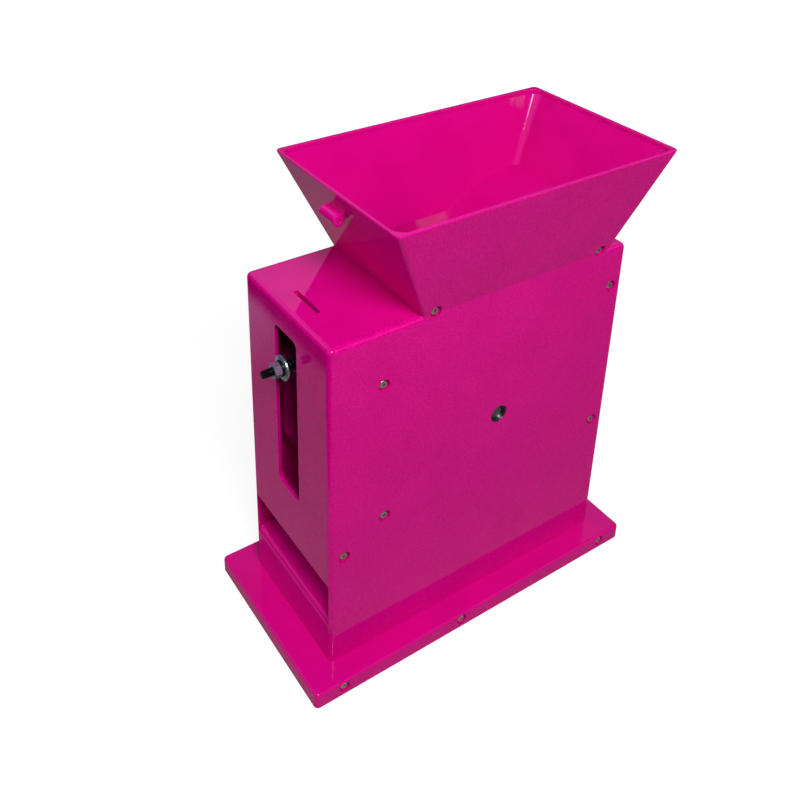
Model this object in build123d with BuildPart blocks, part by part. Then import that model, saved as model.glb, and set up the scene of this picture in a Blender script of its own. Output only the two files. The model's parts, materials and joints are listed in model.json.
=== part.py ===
import math
import os

from build123d import *

# Lotus seed sheller. Millimetres, +Z up, X along the broad face, front face towards -Y.
# The origin lies on the resting surface under the middle of the base flange.

os.makedirs("parts", exist_ok=True)

# Base flange
base_length = 302.0
base_depth = 151.0
base_height = 13.0
base_corner_radius = 3.5
base_edge_radius = 2.0
base_skin = 3.0

# Body box
body_left = -128.0
body_right = 131.0
body_depth = 114.0
body_top = 288.0
body_edge_radius = 4.0
body_top_radius = 4.0
wall = 2.8
seam_gap = 0.1

# Hopper, a funnel whose foot stands flush with the front and rear faces; its rim is upright inside
foot_left = -56.0
foot_right = 111.5
foot_outer_radius = 2.0
foot_inner_radius = 5.0
rim_left = -92.7
rim_right = 151.0
rim_depth = 151.0
rim_height = 366.5
rim_width = 3.6
rim_band = 4.0
rim_outer_radius = 4.0
rim_inner_radius = 9.0
rim_edge_radius = 1.0

# Seed way: arched ramp and guide under the hopper, chute to the exit mouth
ramp_centre_x = 130.6
ramp_centre_z = 157.6
ramp_radius = 152.6
ramp_end_x = 20.0
guide_start_x = -67.5
guide_face_x = -40.2
guide_knee_z = 292.3
guide_foot_z = 238.0
lip_height = 50.5
lip_radius = 5.0
mouth_top = 86.5
chute_slope = 0.185

# End slot, and the slit in the left shelf with the seat in which the lever rocks
slot_width = 30.0
slot_bottom = 132.5
slot_top = 269.0
slot_corner_radius = 5.0
slit_x = -111.0
slit_width = 3.6
slit_length = 31.2
slit_depth = 4.0
seat_thickness = 12.0
seat_length = 40.0
seat_bottom = 276.0
seat_throat_z = 281.0
seat_throat = 2.4
seat_flare = 4.0

# Housing screws: places on the front face (x, z), and in the front edge of the flange (x)
face_screw_places = [
    (-86.0, 246.0), (-82.9, 131.7), (-116.3, 111.2), (-46.5, 289.5),
    (102.6, 289.7), (119.5, 254.1), (118.8, 128.2),
]
base_screw_xs = [-127.0, -20.0, 128.0]
base_screw_z = 7.0
screw_head_radius = 3.3
screw_head_height = 2.6
screw_shank_radius = 1.75
screw_tip_y = 18.0
screw_seat_depth = 3.4
counterbore_radius = 4.6
base_counterbore_radius = 4.3
clearance_radius = 2.1
pilot_radius = 1.8
pilot_end_y = 20.0
pillar_radius = 6.0
base_boss_radius = 5.5
recess_length_share = 1.2
recess_width_share = 0.25

# Lugs that hold the two halves of the hopper together below its rim
lug_radius = 4.9
lug_front_y = -9.5
lug_rear_y = 9.5
lug_rounding = 1.5
left_lug_rise = 68.8
left_lug_reach = 6.6
right_lug_rise = 68.3
right_lug_reach = 4.0
lug_web = 5.2
lug_web_inset = 0.8
lug_head_radius = 2.3
lug_head_height = 1.8
lug_seat_y = 6.5
lug_shank_radius = 1.2
lug_tip_y = -8.0

# Fits
running_clearance = 0.05
loose_clearance = 0.1

# Drum, its shaft and its bushes
drum_x = 17.2
drum_z = 178.0
drum_radius = 70.0
drum_half_length = 42.0
rib_height = 3.0
rib_width = 6.0
rib_count = 22
core_radius = 62.0
core_rim_thickness = 5.0
core_disc_thickness = 6.0
core_hole_radius = 13.0
core_hole_count = 6
hub_radius = 14.0
shaft_radius = 5.0
shaft_front_y = -54.6
shaft_shoulder_y = 58.0
drive_end_radius = 4.0
drive_end_y = 72.0
shaft_chamfer = 0.8
key_width = 3.0
key_length = 24.0
key_low = 3.2
key_high = 6.2
clip_radius = 7.5
clip_thickness = 1.0
clip_mouth = 8.0
groove_radius = 4.5
spacer_radius = 9.0
spacer_thickness = 1.5
bush_radius = 7.4
bush_drop = 0.4
bush_cup_radius = 6.4
bush_cup_depth = 2.5
bush_chamfer = 0.5
boss_radius = 13.0
boss_face = 45.0

# Pressure lever, shoe, lining and blades; the lining's arc is centred a little above the drum's axis
lever_width = 28.0
lever_thickness = 2.0
lever_bottom = 146.0
lever_top = 283.0
lever_bolt_hole_radius = 4.0
lever_screw_heights = [163.0, 214.0]
lever_screw_radius = 2.0
lever_head_radius = 3.9
lever_head_height = 2.6
lever_screw_depth = 13.0
shoe_half_width = 42.0
shoe_bottom = 148.0
shoe_top = 229.0
shoe_skin = 4.0
shoe_spine_half = 12.0
lining_centre_z = 186.0
lining_radius = 83.3
lining_thickness = 4.0
blade_ys = [-25.0, 0.0, 25.0]
blade_thickness = 1.0
blade_proud = 1.2
blade_depth = 10.0
blade_low_angle = 198.0
blade_high_angle = 168.0

# Adjuster: bolt, nut, lock washer, broad washer and spring on one axis along X
bolt_z = 242.0
bolt_radius = 3.0
bolt_tip_x = -146.5
bolt_tip_chamfer = 0.9
bolt_head_left = -97.0
bolt_head_height = 4.0
hex_across_flats = 10.0
anchor_left = -109.7
anchor_right = -86.0
anchor_half_width = 8.0
anchor_half_height = 7.0
nut_left = -138.3
nut_height = 5.2
nut_bore_radius = 3.05
nut_bore_chamfer = 0.5
nut_corner_drop = 0.6
lock_washer_left = -133.05
lock_washer_thickness = 1.6
lock_washer_radius = 5.9
lock_washer_gap = 1.2
washer_left = -131.4
washer_thickness = 1.6
washer_radius = 9.2
washer_bore_radius = 3.2
washer_edge_radius = 0.4
spring_mean_radius = 4.6
spring_wire = 1.8
spring_turns = 6
spring_end_gap = 0.25

# Places worked out from the sizes above
front_y = -body_depth / 2
base_front_y = -base_depth / 2
body_length = body_right - body_left
body_middle = (body_left + body_right) / 2
foot_length = foot_right - foot_left
foot_middle = (foot_left + foot_right) / 2
rim_length = rim_right - rim_left
rim_middle = (rim_left + rim_right) / 2
inner_depth = body_depth - 2 * wall
guide_start_z = guide_knee_z + guide_face_x - guide_start_x
chute_wall_z = lip_height + chute_slope * body_length
lip_angle = math.atan(chute_slope)
lip_centre_z = lip_height + chute_slope * lip_radius - lip_radius / math.cos(lip_angle)
seat_left = slit_x - seat_thickness / 2
seat_right = slit_x + seat_thickness / 2
anchor_bottom = bolt_z - anchor_half_height
anchor_top = bolt_z + anchor_half_height
base_screw_places = [(x, base_screw_z) for x in base_screw_xs]
housing_screw_sizes = (screw_shank_radius, screw_head_radius, screw_head_height)
lug_screw_sizes = (lug_shank_radius, lug_head_radius, lug_head_height)
shaft_places = [(drum_x, drum_z)]
lever_left_x = slit_x - lever_thickness / 2
shoe_back_x = slit_x + lever_thickness / 2
shoe_radius = lining_radius + lining_thickness
lever_screw_places = [(0, height) for height in lever_screw_heights]
hex_radius = hex_across_flats / math.sqrt(3)
bolt_axis = Axis((0, 0, bolt_z), (1, 0, 0))


def across(y_high):
    """XZ plane at y_high; a section drawn on it is extruded towards the front."""
    return Plane.XZ.offset(-y_high)


def round_bars(places, radius, y_low, y_high, mode=Mode.ADD):
    """Round bars or holes along Y at places given as (x, z)."""
    with BuildSketch(across(y_high)) as section:
        with Locations(*places):
            Circle(radius)
    extrude(section.sketch, amount=y_high - y_low, mode=mode)


def polygon_bar(points, y_low, y_high, mode=Mode.ADD):
    """Bar along Y whose section is a polygon through points given as (x, z)."""
    with BuildSketch(across(y_high)) as section:
        with BuildLine():
            Polyline(*points, close=True)
        make_face()
    extrude(section.sketch, amount=y_high - y_low, mode=mode)


def square_bar(x_low, x_high, z_low, z_high, half_width, mode=Mode.ADD):
    """Rectangular block centred on the seam plane."""
    points = [(x_low, z_low), (x_high, z_low), (x_high, z_high), (x_low, z_high)]
    polygon_bar(points, -half_width, half_width, mode)


def lug_section(foot_x, rim_x, rise, reach):
    """Centre of a lug beside a sloping hopper wall, and the corners of the web that carries it."""
    up = Vector(rim_x - foot_x, rim_height - body_top).normalized()
    out = Vector(up.Y, -up.X) * math.copysign(1, rim_x - foot_x)
    centre = Vector(foot_x, body_top) + up * rise + out * reach
    root = centre - out * (reach + wall / 2)
    edge = up * lug_web / 2
    corners = [centre + edge, root + edge, root - edge, centre - edge]
    return (centre.X, centre.Y), [(corner.X, corner.Y) for corner in corners]


left_lug_place, left_lug_web = lug_section(foot_left, rim_left, left_lug_rise, left_lug_reach)
right_lug_place, right_lug_web = lug_section(foot_right, rim_right, right_lug_rise, right_lug_reach)
lug_places = [left_lug_place, right_lug_place]

with BuildPart() as lugs:
    round_bars(lug_places, lug_radius, lug_front_y, lug_rear_y)
    fillet(edges().filter_by(GeomType.CIRCLE), lug_rounding)
    for web_points in (left_lug_web, right_lug_web):
        polygon_bar(web_points, lug_front_y + lug_web_inset, lug_rear_y - lug_web_inset)

# Hollow of the closed housing, less its ramp, guide, chute, screw pillars, bosses, anchor and seat
with BuildPart() as hollow:
    with BuildSketch(Plane.XY):
        with Locations((body_middle, 0)):
            Rectangle(body_length - 2 * wall, inner_depth)
    extrude(amount=body_top - wall)
    with BuildSketch(Plane.XY.offset(body_top - 2 * wall)):
        with Locations((foot_middle, 0)):
            RectangleRounded(foot_length - 2 * wall, inner_depth, foot_inner_radius)
    extrude(amount=2 * wall)
    with BuildSketch(Plane.XY.offset(body_top)):
        with Locations((foot_middle, 0)):
            RectangleRounded(foot_length - 2 * wall, inner_depth, foot_inner_radius)
    with BuildSketch(Plane.XY.offset(rim_height - rim_band)):
        with Locations((rim_middle, 0)):
            RectangleRounded(rim_length - 2 * rim_width, rim_depth - 2 * rim_width, rim_inner_radius)
    loft()
    extrude(faces().sort_by(Axis.Z)[-1], amount=rim_band)
    with BuildSketch(across(rim_depth / 2)):
        with Locations((ramp_centre_x, ramp_centre_z)):
            Circle(ramp_radius)
            Circle(ramp_radius - wall, mode=Mode.SUBTRACT)
        with Locations(((ramp_end_x + body_right) / 2, ramp_centre_z + ramp_radius / 2)):
            Rectangle(body_right - ramp_end_x, ramp_radius, mode=Mode.INTERSECT)
    extrude(amount=rim_depth, mode=Mode.SUBTRACT)
    guide_points = [
        (guide_start_x, guide_start_z),
        (guide_face_x, guide_knee_z),
        (guide_face_x, guide_foot_z),
        (guide_face_x - wall, guide_foot_z),
        (guide_face_x - wall, guide_knee_z - wall / 2),
        (guide_start_x, guide_start_z - wall * 3 / 2),
    ]
    chute_points = [
        (body_left, lip_height),
        (body_right, chute_wall_z),
        (body_right, chute_wall_z - wall),
        (body_left, lip_height - wall),
    ]
    for plate_points in (guide_points, chute_points):
        polygon_bar(plate_points, -rim_depth / 2, rim_depth / 2, mode=Mode.SUBTRACT)
    round_bars(face_screw_places, pillar_radius, -rim_depth / 2, rim_depth / 2, mode=Mode.SUBTRACT)
    round_bars(shaft_places, boss_radius, front_y, -boss_face, mode=Mode.SUBTRACT)
    round_bars(shaft_places, boss_radius, boss_face, -front_y, mode=Mode.SUBTRACT)
    square_bar(anchor_left, anchor_right, anchor_bottom, anchor_top, anchor_half_width, mode=Mode.SUBTRACT)
    square_bar(seat_left, seat_right, seat_bottom, body_top, seat_length / 2, mode=Mode.SUBTRACT)

# Whole housing before it is parted into its two halves
with BuildPart() as housing:
    with BuildSketch():
        RectangleRounded(base_length, base_depth, base_corner_radius)
    extrude(amount=base_height)
    fillet(edges().group_by(Axis.Z)[-1], base_edge_radius)
    with BuildSketch():
        with Locations((body_middle, 0)):
            RectangleRounded(body_length, body_depth, body_edge_radius)
    extrude(amount=body_top)
    fillet(edges().group_by(Axis.Z)[-1], body_top_radius)
    with BuildSketch(Plane.XY.offset(body_top - 2 * body_top_radius)):
        with Locations((foot_middle, 0)):
            RectangleRounded(foot_length, body_depth, foot_outer_radius)
    extrude(amount=2 * body_top_radius)
    with BuildSketch(Plane.XY.offset(body_top)):
        with Locations((foot_middle, 0)):
            RectangleRounded(foot_length, body_depth, foot_outer_radius)
    with BuildSketch(Plane.XY.offset(rim_height)):
        with Locations((rim_middle, 0)):
            RectangleRounded(rim_length, rim_depth, rim_outer_radius)
    loft()
    add(lugs.part)
    add(hollow.part, mode=Mode.SUBTRACT)
    fillet(edges().group_by(Axis.Z)[-1], rim_edge_radius)
    with BuildSketch():
        Rectangle(base_length - 2 * base_skin, base_depth - 2 * base_skin)
        with Locations((body_middle, 0)):
            Rectangle(body_length, body_depth, mode=Mode.SUBTRACT)
    extrude(amount=base_height - base_skin, mode=Mode.SUBTRACT)
    round_bars(base_screw_places, base_boss_radius, base_front_y + wall, inner_depth / 2 + wall / 2)
    # Exit mouth from side wall to side wall, over the chute's rounded lip
    with BuildSketch(across(inner_depth / 2)):
        with BuildLine():
            lip_middle = (body_left + lip_radius, lip_centre_z)
            lip = CenterArc(lip_middle, lip_radius, 180, math.degrees(lip_angle) - 90)
            Polyline(
                lip @ 1,
                (body_left + lip_radius, lip_height + chute_slope * lip_radius),
                (body_left + lip_radius, mouth_top),
                (body_left - wall, mouth_top),
                (body_left - wall, lip_centre_z),
                lip @ 0,
            )
        make_face()
    extrude(amount=inner_depth, mode=Mode.SUBTRACT)
    # Tall slot of the adjuster
    with BuildSketch(Plane.YZ.offset(body_left - wall)):
        with Locations((0, (slot_bottom + slot_top) / 2)):
            RectangleRounded(slot_width, slot_top - slot_bottom, slot_corner_radius)
    extrude(amount=2 * wall, mode=Mode.SUBTRACT)
    # Slit in the shelf, with a throat that flares below so that the lever can rock in it
    slit_half_section = [
        (slit_width / 2, body_top + wall),
        (slit_width / 2, body_top - slit_depth),
        (seat_throat / 2, body_top - slit_depth - (slit_width - seat_throat) / 2),
        (seat_throat / 2, seat_throat_z),
        (seat_flare / 2, seat_bottom),
    ]
    slit_points = [(slit_x + half, z) for half, z in slit_half_section]
    slit_points += [(slit_x - half, z) for half, z in reversed(slit_half_section)]
    polygon_bar(slit_points, -slit_length / 2, slit_length / 2, mode=Mode.SUBTRACT)
    # Hex pocket and shank hole that hold the adjusting bolt
    with BuildSketch(Plane.YZ.offset(bolt_head_left - running_clearance)):
        with Locations((0, bolt_z)):
            RegularPolygon(hex_radius + loose_clearance, 6)
    extrude(amount=bolt_head_height + 2 * running_clearance, mode=Mode.SUBTRACT)
    with BuildSketch(Plane.YZ.offset(anchor_left)):
        with Locations((0, bolt_z)):
            Circle(bolt_radius + running_clearance)
    extrude(amount=bolt_head_left - anchor_left, mode=Mode.SUBTRACT)

# Front half, with counterbored holes for the screws, pilot holes in its lugs and a seat for the front bush
with BuildPart() as front_housing:
    add(housing.part)
    split(bisect_by=Plane.XZ.offset(seam_gap / 2), keep=Keep.TOP)
    for places, bore_radius, face_y in (
        (face_screw_places, counterbore_radius, front_y),
        (base_screw_places, base_counterbore_radius, base_front_y),
    ):
        round_bars(places, clearance_radius, face_y, 0, mode=Mode.SUBTRACT)
        round_bars(places, bore_radius, face_y - wall, face_y + screw_seat_depth, mode=Mode.SUBTRACT)
    round_bars(lug_places, lug_shank_radius + running_clearance, lug_front_y, 0, mode=Mode.SUBTRACT)
    round_bars(shaft_places, bush_radius, front_y, -boss_face, mode=Mode.SUBTRACT)
front_housing.part.label = "front_housing"
export_step(front_housing.part, "parts/front_housing.step")

# Rear half, with blind pilot holes for the screws, counterbored lugs and a seat for the rear bush
with BuildPart() as rear_housing:
    add(housing.part)
    split(bisect_by=Plane.XZ.offset(-seam_gap / 2), keep=Keep.BOTTOM)
    round_bars(face_screw_places + base_screw_places, pilot_radius, 0, pilot_end_y, mode=Mode.SUBTRACT)
    round_bars(lug_places, lug_shank_radius + loose_clearance, 0, lug_rear_y, mode=Mode.SUBTRACT)
    round_bars(lug_places, lug_head_radius + loose_clearance, lug_seat_y, lug_rear_y, mode=Mode.SUBTRACT)
    round_bars(shaft_places, bush_radius, boss_face, -front_y, mode=Mode.SUBTRACT)
rear_housing.part.label = "rear_housing"
export_step(rear_housing.part, "parts/rear_housing.step")


def cross_recess(head_radius):
    """Cross drawn at the current locations of the open sketch."""
    Rectangle(recess_length_share * head_radius, recess_width_share * head_radius)
    Rectangle(recess_width_share * head_radius, recess_length_share * head_radius)


def pan_screws(places, seat_y, tip_y, shank_radius, head_radius, head_height):
    """Pan head screws along Y with their heads to the front."""
    head_y = seat_y - head_height
    round_bars(places, shank_radius, seat_y, tip_y)
    round_bars(places, head_radius, head_y, seat_y)
    fillet(edges().group_by(Axis.Y)[0], head_height / 2)
    with BuildSketch(across(head_y + head_height / 2)) as recess:
        with Locations(*places):
            cross_recess(head_radius)
    extrude(recess.sketch, amount=head_height, mode=Mode.SUBTRACT)


with BuildPart() as housing_screws:
    pan_screws(face_screw_places, front_y + screw_seat_depth, screw_tip_y, *housing_screw_sizes)
housing_screws.part.label = "housing_screws"
export_step(housing_screws.part, "parts/housing_screws.step")

with BuildPart() as base_screws:
    pan_screws(base_screw_places, base_front_y + screw_seat_depth, screw_tip_y, *housing_screw_sizes)
base_screws.part.label = "base_screws"
export_step(base_screws.part, "parts/base_screws.step")

# The hopper's screws go in from the rear
with BuildPart() as hopper_screws:
    pan_screws(lug_places, -lug_seat_y, -lug_tip_y, *lug_screw_sizes)
    mirror(about=Plane.XZ, mode=Mode.REPLACE)
hopper_screws.part.label = "hopper_screws"
export_step(hopper_screws.part, "parts/hopper_screws.step")

drum_plane = Plane(origin=(drum_x, 0, drum_z), x_dir=(1, 0, 0), z_dir=(0, -1, 0))

# Drum core: rim, two discs with holes, and a keyed hub
with BuildPart() as drum_core:
    with BuildSketch(drum_plane):
        Circle(core_radius)
        Circle(core_radius - core_rim_thickness, mode=Mode.SUBTRACT)
        Circle(hub_radius)
    extrude(amount=drum_half_length, both=True)
    for end in (-1, 1):
        with BuildSketch(drum_plane.offset(end * (drum_half_length - core_disc_thickness / 2))):
            Circle(core_radius - core_rim_thickness / 2)
            with PolarLocations((hub_radius + core_radius - core_rim_thickness) / 2, core_hole_count):
                Circle(core_hole_radius, mode=Mode.SUBTRACT)
        extrude(amount=core_disc_thickness / 2, both=True)
    with BuildSketch(drum_plane):
        Circle(shaft_radius + running_clearance)
        with Locations((0, key_high / 2)):
            Rectangle(key_width + 2 * running_clearance, key_high + 2 * running_clearance)
    extrude(amount=drum_half_length, both=True, mode=Mode.SUBTRACT)
drum_core.part.label = "drum_core"
export_step(drum_core.part, "parts/drum_core.step")

# Rubber sleeve with ribs along the drum
with BuildPart() as drum_sleeve:
    with BuildSketch(drum_plane):
        Circle(drum_radius - rib_height)
        with PolarLocations(drum_radius - rib_height, rib_count):
            Rectangle(2 * rib_height, rib_width)
        Circle(core_radius + running_clearance, mode=Mode.SUBTRACT)
    extrude(amount=drum_half_length, both=True)
drum_sleeve.part.label = "drum_sleeve"
export_step(drum_sleeve.part, "parts/drum_sleeve.step")

clip_start = drum_half_length + loose_clearance
clip_end = clip_start + clip_thickness

# Shaft with a keyway, two clip grooves and a thinner drive end at the rear
with BuildPart() as drum_shaft:
    round_bars(shaft_places, shaft_radius, shaft_front_y, shaft_shoulder_y)
    round_bars(shaft_places, drive_end_radius, shaft_shoulder_y, drive_end_y)
    chamfer(edges().group_by(Axis.Y)[0], shaft_chamfer)
    chamfer(edges().group_by(Axis.Y)[-1], shaft_chamfer)
    with BuildSketch(drum_plane):
        with Locations((0, (key_low + key_high) / 2)):
            Rectangle(key_width + 2 * running_clearance, key_high - key_low + 2 * running_clearance)
    extrude(amount=key_length / 2 + running_clearance, both=True, mode=Mode.SUBTRACT)
    for end in (-1, 1):
        with BuildSketch(drum_plane.offset(end * (clip_start + clip_end) / 2)):
            Circle(shaft_radius + running_clearance)
            Circle(groove_radius, mode=Mode.SUBTRACT)
        extrude(amount=clip_thickness / 2 + running_clearance, both=True, mode=Mode.SUBTRACT)
drum_shaft.part.label = "drum_shaft"
export_step(drum_shaft.part, "parts/drum_shaft.step")

with BuildPart() as shaft_key:
    with BuildSketch(drum_plane):
        with Locations((0, (key_low + key_high) / 2)):
            Rectangle(key_width, key_high - key_low)
    extrude(amount=key_length / 2, both=True)
shaft_key.part.label = "shaft_key"
export_step(shaft_key.part, "parts/shaft_key.step")

# Open clips in the shaft's grooves, one at each end of the hub
with BuildPart() as shaft_clips:
    for end in (-1, 1):
        with BuildSketch(drum_plane.offset(end * (clip_start + clip_end) / 2)):
            Circle(clip_radius)
            Circle(groove_radius + running_clearance, mode=Mode.SUBTRACT)
            with Locations((0, -clip_radius)):
                Rectangle(clip_mouth, clip_radius, mode=Mode.SUBTRACT)
        extrude(amount=clip_thickness / 2, both=True)
shaft_clips.part.label = "shaft_clips"
export_step(shaft_clips.part, "parts/shaft_clips.step")

# Thrust rings between the clips and the housing's bosses
with BuildPart() as drum_spacers:
    for end in (-1, 1):
        with BuildSketch(drum_plane.offset(end * (boss_face - loose_clearance - spacer_thickness / 2))):
            Circle(spacer_radius)
            Circle(shaft_radius + running_clearance, mode=Mode.SUBTRACT)
        extrude(amount=spacer_thickness / 2, both=True)
drum_spacers.part.label = "drum_spacers"
export_step(drum_spacers.part, "parts/drum_spacers.step")


def front_bush_form():
    """Plain bearing bush through the front boss, with a cupped outer end that lines the hole in the wall."""
    outer_y = front_y + bush_drop
    inner_y = -boss_face - loose_clearance
    round_bars(shaft_places, bush_radius - running_clearance, outer_y, inner_y)
    chamfer(edges().group_by(Axis.Y)[0], bush_chamfer)
    round_bars(shaft_places, bush_cup_radius, outer_y, outer_y + bush_cup_depth, mode=Mode.SUBTRACT)
    round_bars(shaft_places, shaft_radius + running_clearance, outer_y, inner_y, mode=Mode.SUBTRACT)


with BuildPart() as front_bush:
    front_bush_form()
front_bush.part.label = "front_bush"
export_step(front_bush.part, "parts/front_bush.step")

with BuildPart() as rear_bush:
    front_bush_form()
    mirror(about=Plane.XZ, mode=Mode.REPLACE)
rear_bush.part.label = "rear_bush"
export_step(rear_bush.part, "parts/rear_bush.step")

# Steel strip that stands in the slit and hangs down behind the end slot
with BuildPart() as pressure_lever:
    with BuildSketch(Plane.YZ.offset(lever_left_x)):
        with Locations((0, (lever_bottom + lever_top) / 2)):
            RectangleRounded(lever_width, lever_top - lever_bottom, lever_thickness)
        with Locations((0, bolt_z)):
            Circle(lever_bolt_hole_radius, mode=Mode.SUBTRACT)
        with Locations(*lever_screw_places):
            Circle(lever_screw_radius + running_clearance, mode=Mode.SUBTRACT)
    extrude(amount=lever_thickness)
pressure_lever.part.label = "pressure_lever"
export_step(pressure_lever.part, "parts/pressure_lever.step")


def shoe_bar(radius, inset, y_low, y_high, mode=Mode.ADD):
    """Bar along Y between the shoe's flat back and an arc about the lining's centre."""
    with BuildSketch(across(y_high)) as section:
        with Locations(((shoe_back_x + drum_x) / 2, (shoe_bottom + shoe_top) / 2)):
            Rectangle(drum_x - shoe_back_x, shoe_top - shoe_bottom - 2 * inset)
        with Locations((drum_x, lining_centre_z)):
            Circle(radius, mode=Mode.SUBTRACT)
    extrude(section.sketch, amount=y_high - y_low, mode=mode)


def blade_bars(grow, mode=Mode.ADD):
    """Arc-shaped blades, or with grow and a cutting mode the slits that hold them."""
    inner = lining_radius - blade_proud - grow
    outer = lining_radius - blade_proud + blade_depth + grow
    spread = math.degrees(grow / inner)
    low = blade_low_angle + spread
    high = blade_high_angle - spread
    for y in blade_ys:
        with BuildSketch(across(y + blade_thickness / 2 + grow)) as section:
            with BuildLine():
                inside = CenterArc((drum_x, lining_centre_z), inner, low, high - low)
                outside = CenterArc((drum_x, lining_centre_z), outer, low, high - low)
                Line(inside @ 0, outside @ 0)
                Line(inside @ 1, outside @ 1)
            make_face()
        extrude(section.sketch, amount=blade_thickness + 2 * grow, mode=mode)


# Shoe with an arched face, a spine for the lever and open pockets at the back
with BuildPart() as pressure_shoe:
    shoe_bar(shoe_radius, 0, -shoe_half_width, shoe_half_width)
    pocket_y = shoe_half_width - shoe_skin
    shoe_bar(shoe_radius + shoe_skin, shoe_skin, -pocket_y, -shoe_spine_half, mode=Mode.SUBTRACT)
    shoe_bar(shoe_radius + shoe_skin, shoe_skin, shoe_spine_half, pocket_y, mode=Mode.SUBTRACT)
    with BuildSketch(Plane.YZ.offset(shoe_back_x)):
        with Locations(*lever_screw_places):
            Circle(lever_screw_radius + running_clearance)
    extrude(amount=lever_screw_depth + 1, mode=Mode.SUBTRACT)
    blade_bars(running_clearance, mode=Mode.SUBTRACT)
pressure_shoe.part.label = "pressure_shoe"
export_step(pressure_shoe.part, "parts/pressure_shoe.step")

# Rubber lining on the arched face, slit for the blades
with BuildPart() as shoe_lining:
    with BuildSketch(across(shoe_half_width)):
        with Locations(((shoe_back_x + drum_x) / 2, (shoe_bottom + shoe_top) / 2)):
            Rectangle(drum_x - shoe_back_x, shoe_top - shoe_bottom)
        with Locations((drum_x, lining_centre_z)):
            Circle(shoe_radius - running_clearance, mode=Mode.INTERSECT)
            Circle(lining_radius, mode=Mode.SUBTRACT)
    extrude(amount=2 * shoe_half_width)
    blade_bars(running_clearance, mode=Mode.SUBTRACT)
shoe_lining.part.label = "shoe_lining"
export_step(shoe_lining.part, "parts/shoe_lining.step")

with BuildPart() as shell_blades:
    blade_bars(0)
shell_blades.part.label = "shell_blades"
export_step(shell_blades.part, "parts/shell_blades.step")

# Pan head screws along X through the lever into the shoe's spine
lever_head_x = lever_left_x - lever_head_height
with BuildPart() as lever_screws:
    with BuildSketch(Plane.YZ.offset(lever_head_x)):
        with Locations(*lever_screw_places):
            Circle(lever_head_radius)
    extrude(amount=lever_head_height)
    fillet(edges().group_by(Axis.X)[0], lever_head_height / 2)
    with BuildSketch(Plane.YZ.offset(lever_left_x)):
        with Locations(*lever_screw_places):
            Circle(lever_screw_radius)
    extrude(amount=lever_thickness + lever_screw_depth)
    with BuildSketch(Plane.YZ.offset(lever_head_x)):
        with Locations(*lever_screw_places):
            cross_recess(lever_head_radius)
    extrude(amount=lever_head_height / 2, mode=Mode.SUBTRACT)
lever_screws.part.label = "lever_screws"
export_step(lever_screws.part, "parts/lever_screws.step")

# Adjusting bolt, whose head is held in the housing and whose threaded end comes out of the slot
with BuildPart() as adjusting_bolt:
    with BuildSketch(Plane.YZ.offset(bolt_tip_x)):
        with Locations((0, bolt_z)):
            Circle(bolt_radius)
    extrude(amount=bolt_head_left - bolt_tip_x)
    chamfer(edges().group_by(Axis.X)[0], bolt_tip_chamfer)
    with BuildSketch(Plane.YZ.offset(bolt_head_left)):
        with Locations((0, bolt_z)):
            RegularPolygon(hex_radius, 6)
    extrude(amount=bolt_head_height)
adjusting_bolt.part.label = "adjusting_bolt"
export_step(adjusting_bolt.part, "parts/adjusting_bolt.step")

# Hex nut with its corners turned down at both faces
with BuildPart() as adjusting_nut:
    with BuildSketch(Plane.YZ.offset(nut_left)):
        with Locations((0, bolt_z)):
            RegularPolygon(hex_radius, 6)
    extrude(amount=nut_height)
    with BuildSketch(Plane.XZ):
        with BuildLine():
            Polyline(
                (nut_left, bolt_z),
                (nut_left, bolt_z + hex_across_flats / 2),
                (nut_left + nut_corner_drop, bolt_z + hex_radius),
                (nut_left + nut_height - nut_corner_drop, bolt_z + hex_radius),
                (nut_left + nut_height, bolt_z + hex_across_flats / 2),
                (nut_left + nut_height, bolt_z),
                close=True,
            )
        make_face()
    revolve(axis=bolt_axis, mode=Mode.INTERSECT)
    with BuildSketch(Plane.YZ.offset(nut_left)):
        with Locations((0, bolt_z)):
            Circle(nut_bore_radius)
    extrude(amount=nut_height, mode=Mode.SUBTRACT)
    chamfer(edges().filter_by(GeomType.CIRCLE).group_by(SortBy.RADIUS)[0], nut_bore_chamfer)
adjusting_nut.part.label = "adjusting_nut"
export_step(adjusting_nut.part, "parts/adjusting_nut.step")

# Split lock washer between the nut and the broad washer
with BuildPart() as lock_washer:
    with BuildSketch(Plane.YZ.offset(lock_washer_left)):
        with Locations((0, bolt_z)):
            Circle(lock_washer_radius)
            Circle(washer_bore_radius, mode=Mode.SUBTRACT)
        with Locations((0, bolt_z + lock_washer_radius / 2)):
            Rectangle(lock_washer_gap, lock_washer_radius, mode=Mode.SUBTRACT)
    extrude(amount=lock_washer_thickness)
lock_washer.part.label = "lock_washer"
export_step(lock_washer.part, "parts/lock_washer.step")

with BuildPart() as spring_washer:
    with BuildSketch(Plane.YZ.offset(washer_left)):
        with Locations((0, bolt_z)):
            Circle(washer_radius)
            Circle(washer_bore_radius, mode=Mode.SUBTRACT)
    extrude(amount=washer_thickness)
    fillet(edges().filter_by(GeomType.CIRCLE).group_by(SortBy.RADIUS)[-1], washer_edge_radius)
spring_washer.part.label = "spring_washer"
export_step(spring_washer.part, "parts/spring_washer.step")

# Coil spring between washer and lever, a helix of two arcs to each quarter turn with straight ends
spring_left = washer_left + washer_thickness + spring_wire / 2 + spring_end_gap
spring_right = lever_left_x - spring_wire / 2 - spring_end_gap
spring_pitch = (spring_right - spring_left) / spring_turns


def coil_point(turn):
    angle = 2 * math.pi * turn
    y = spring_mean_radius * math.cos(angle)
    z = bolt_z + spring_mean_radius * math.sin(angle)
    return Vector(spring_left + spring_pitch * turn, y, z)


def coil_way(turn):
    angle = 2 * math.pi * turn
    around = 2 * math.pi * spring_mean_radius
    return Vector(spring_pitch, -around * math.sin(angle), around * math.cos(angle)).normalized()


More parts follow.
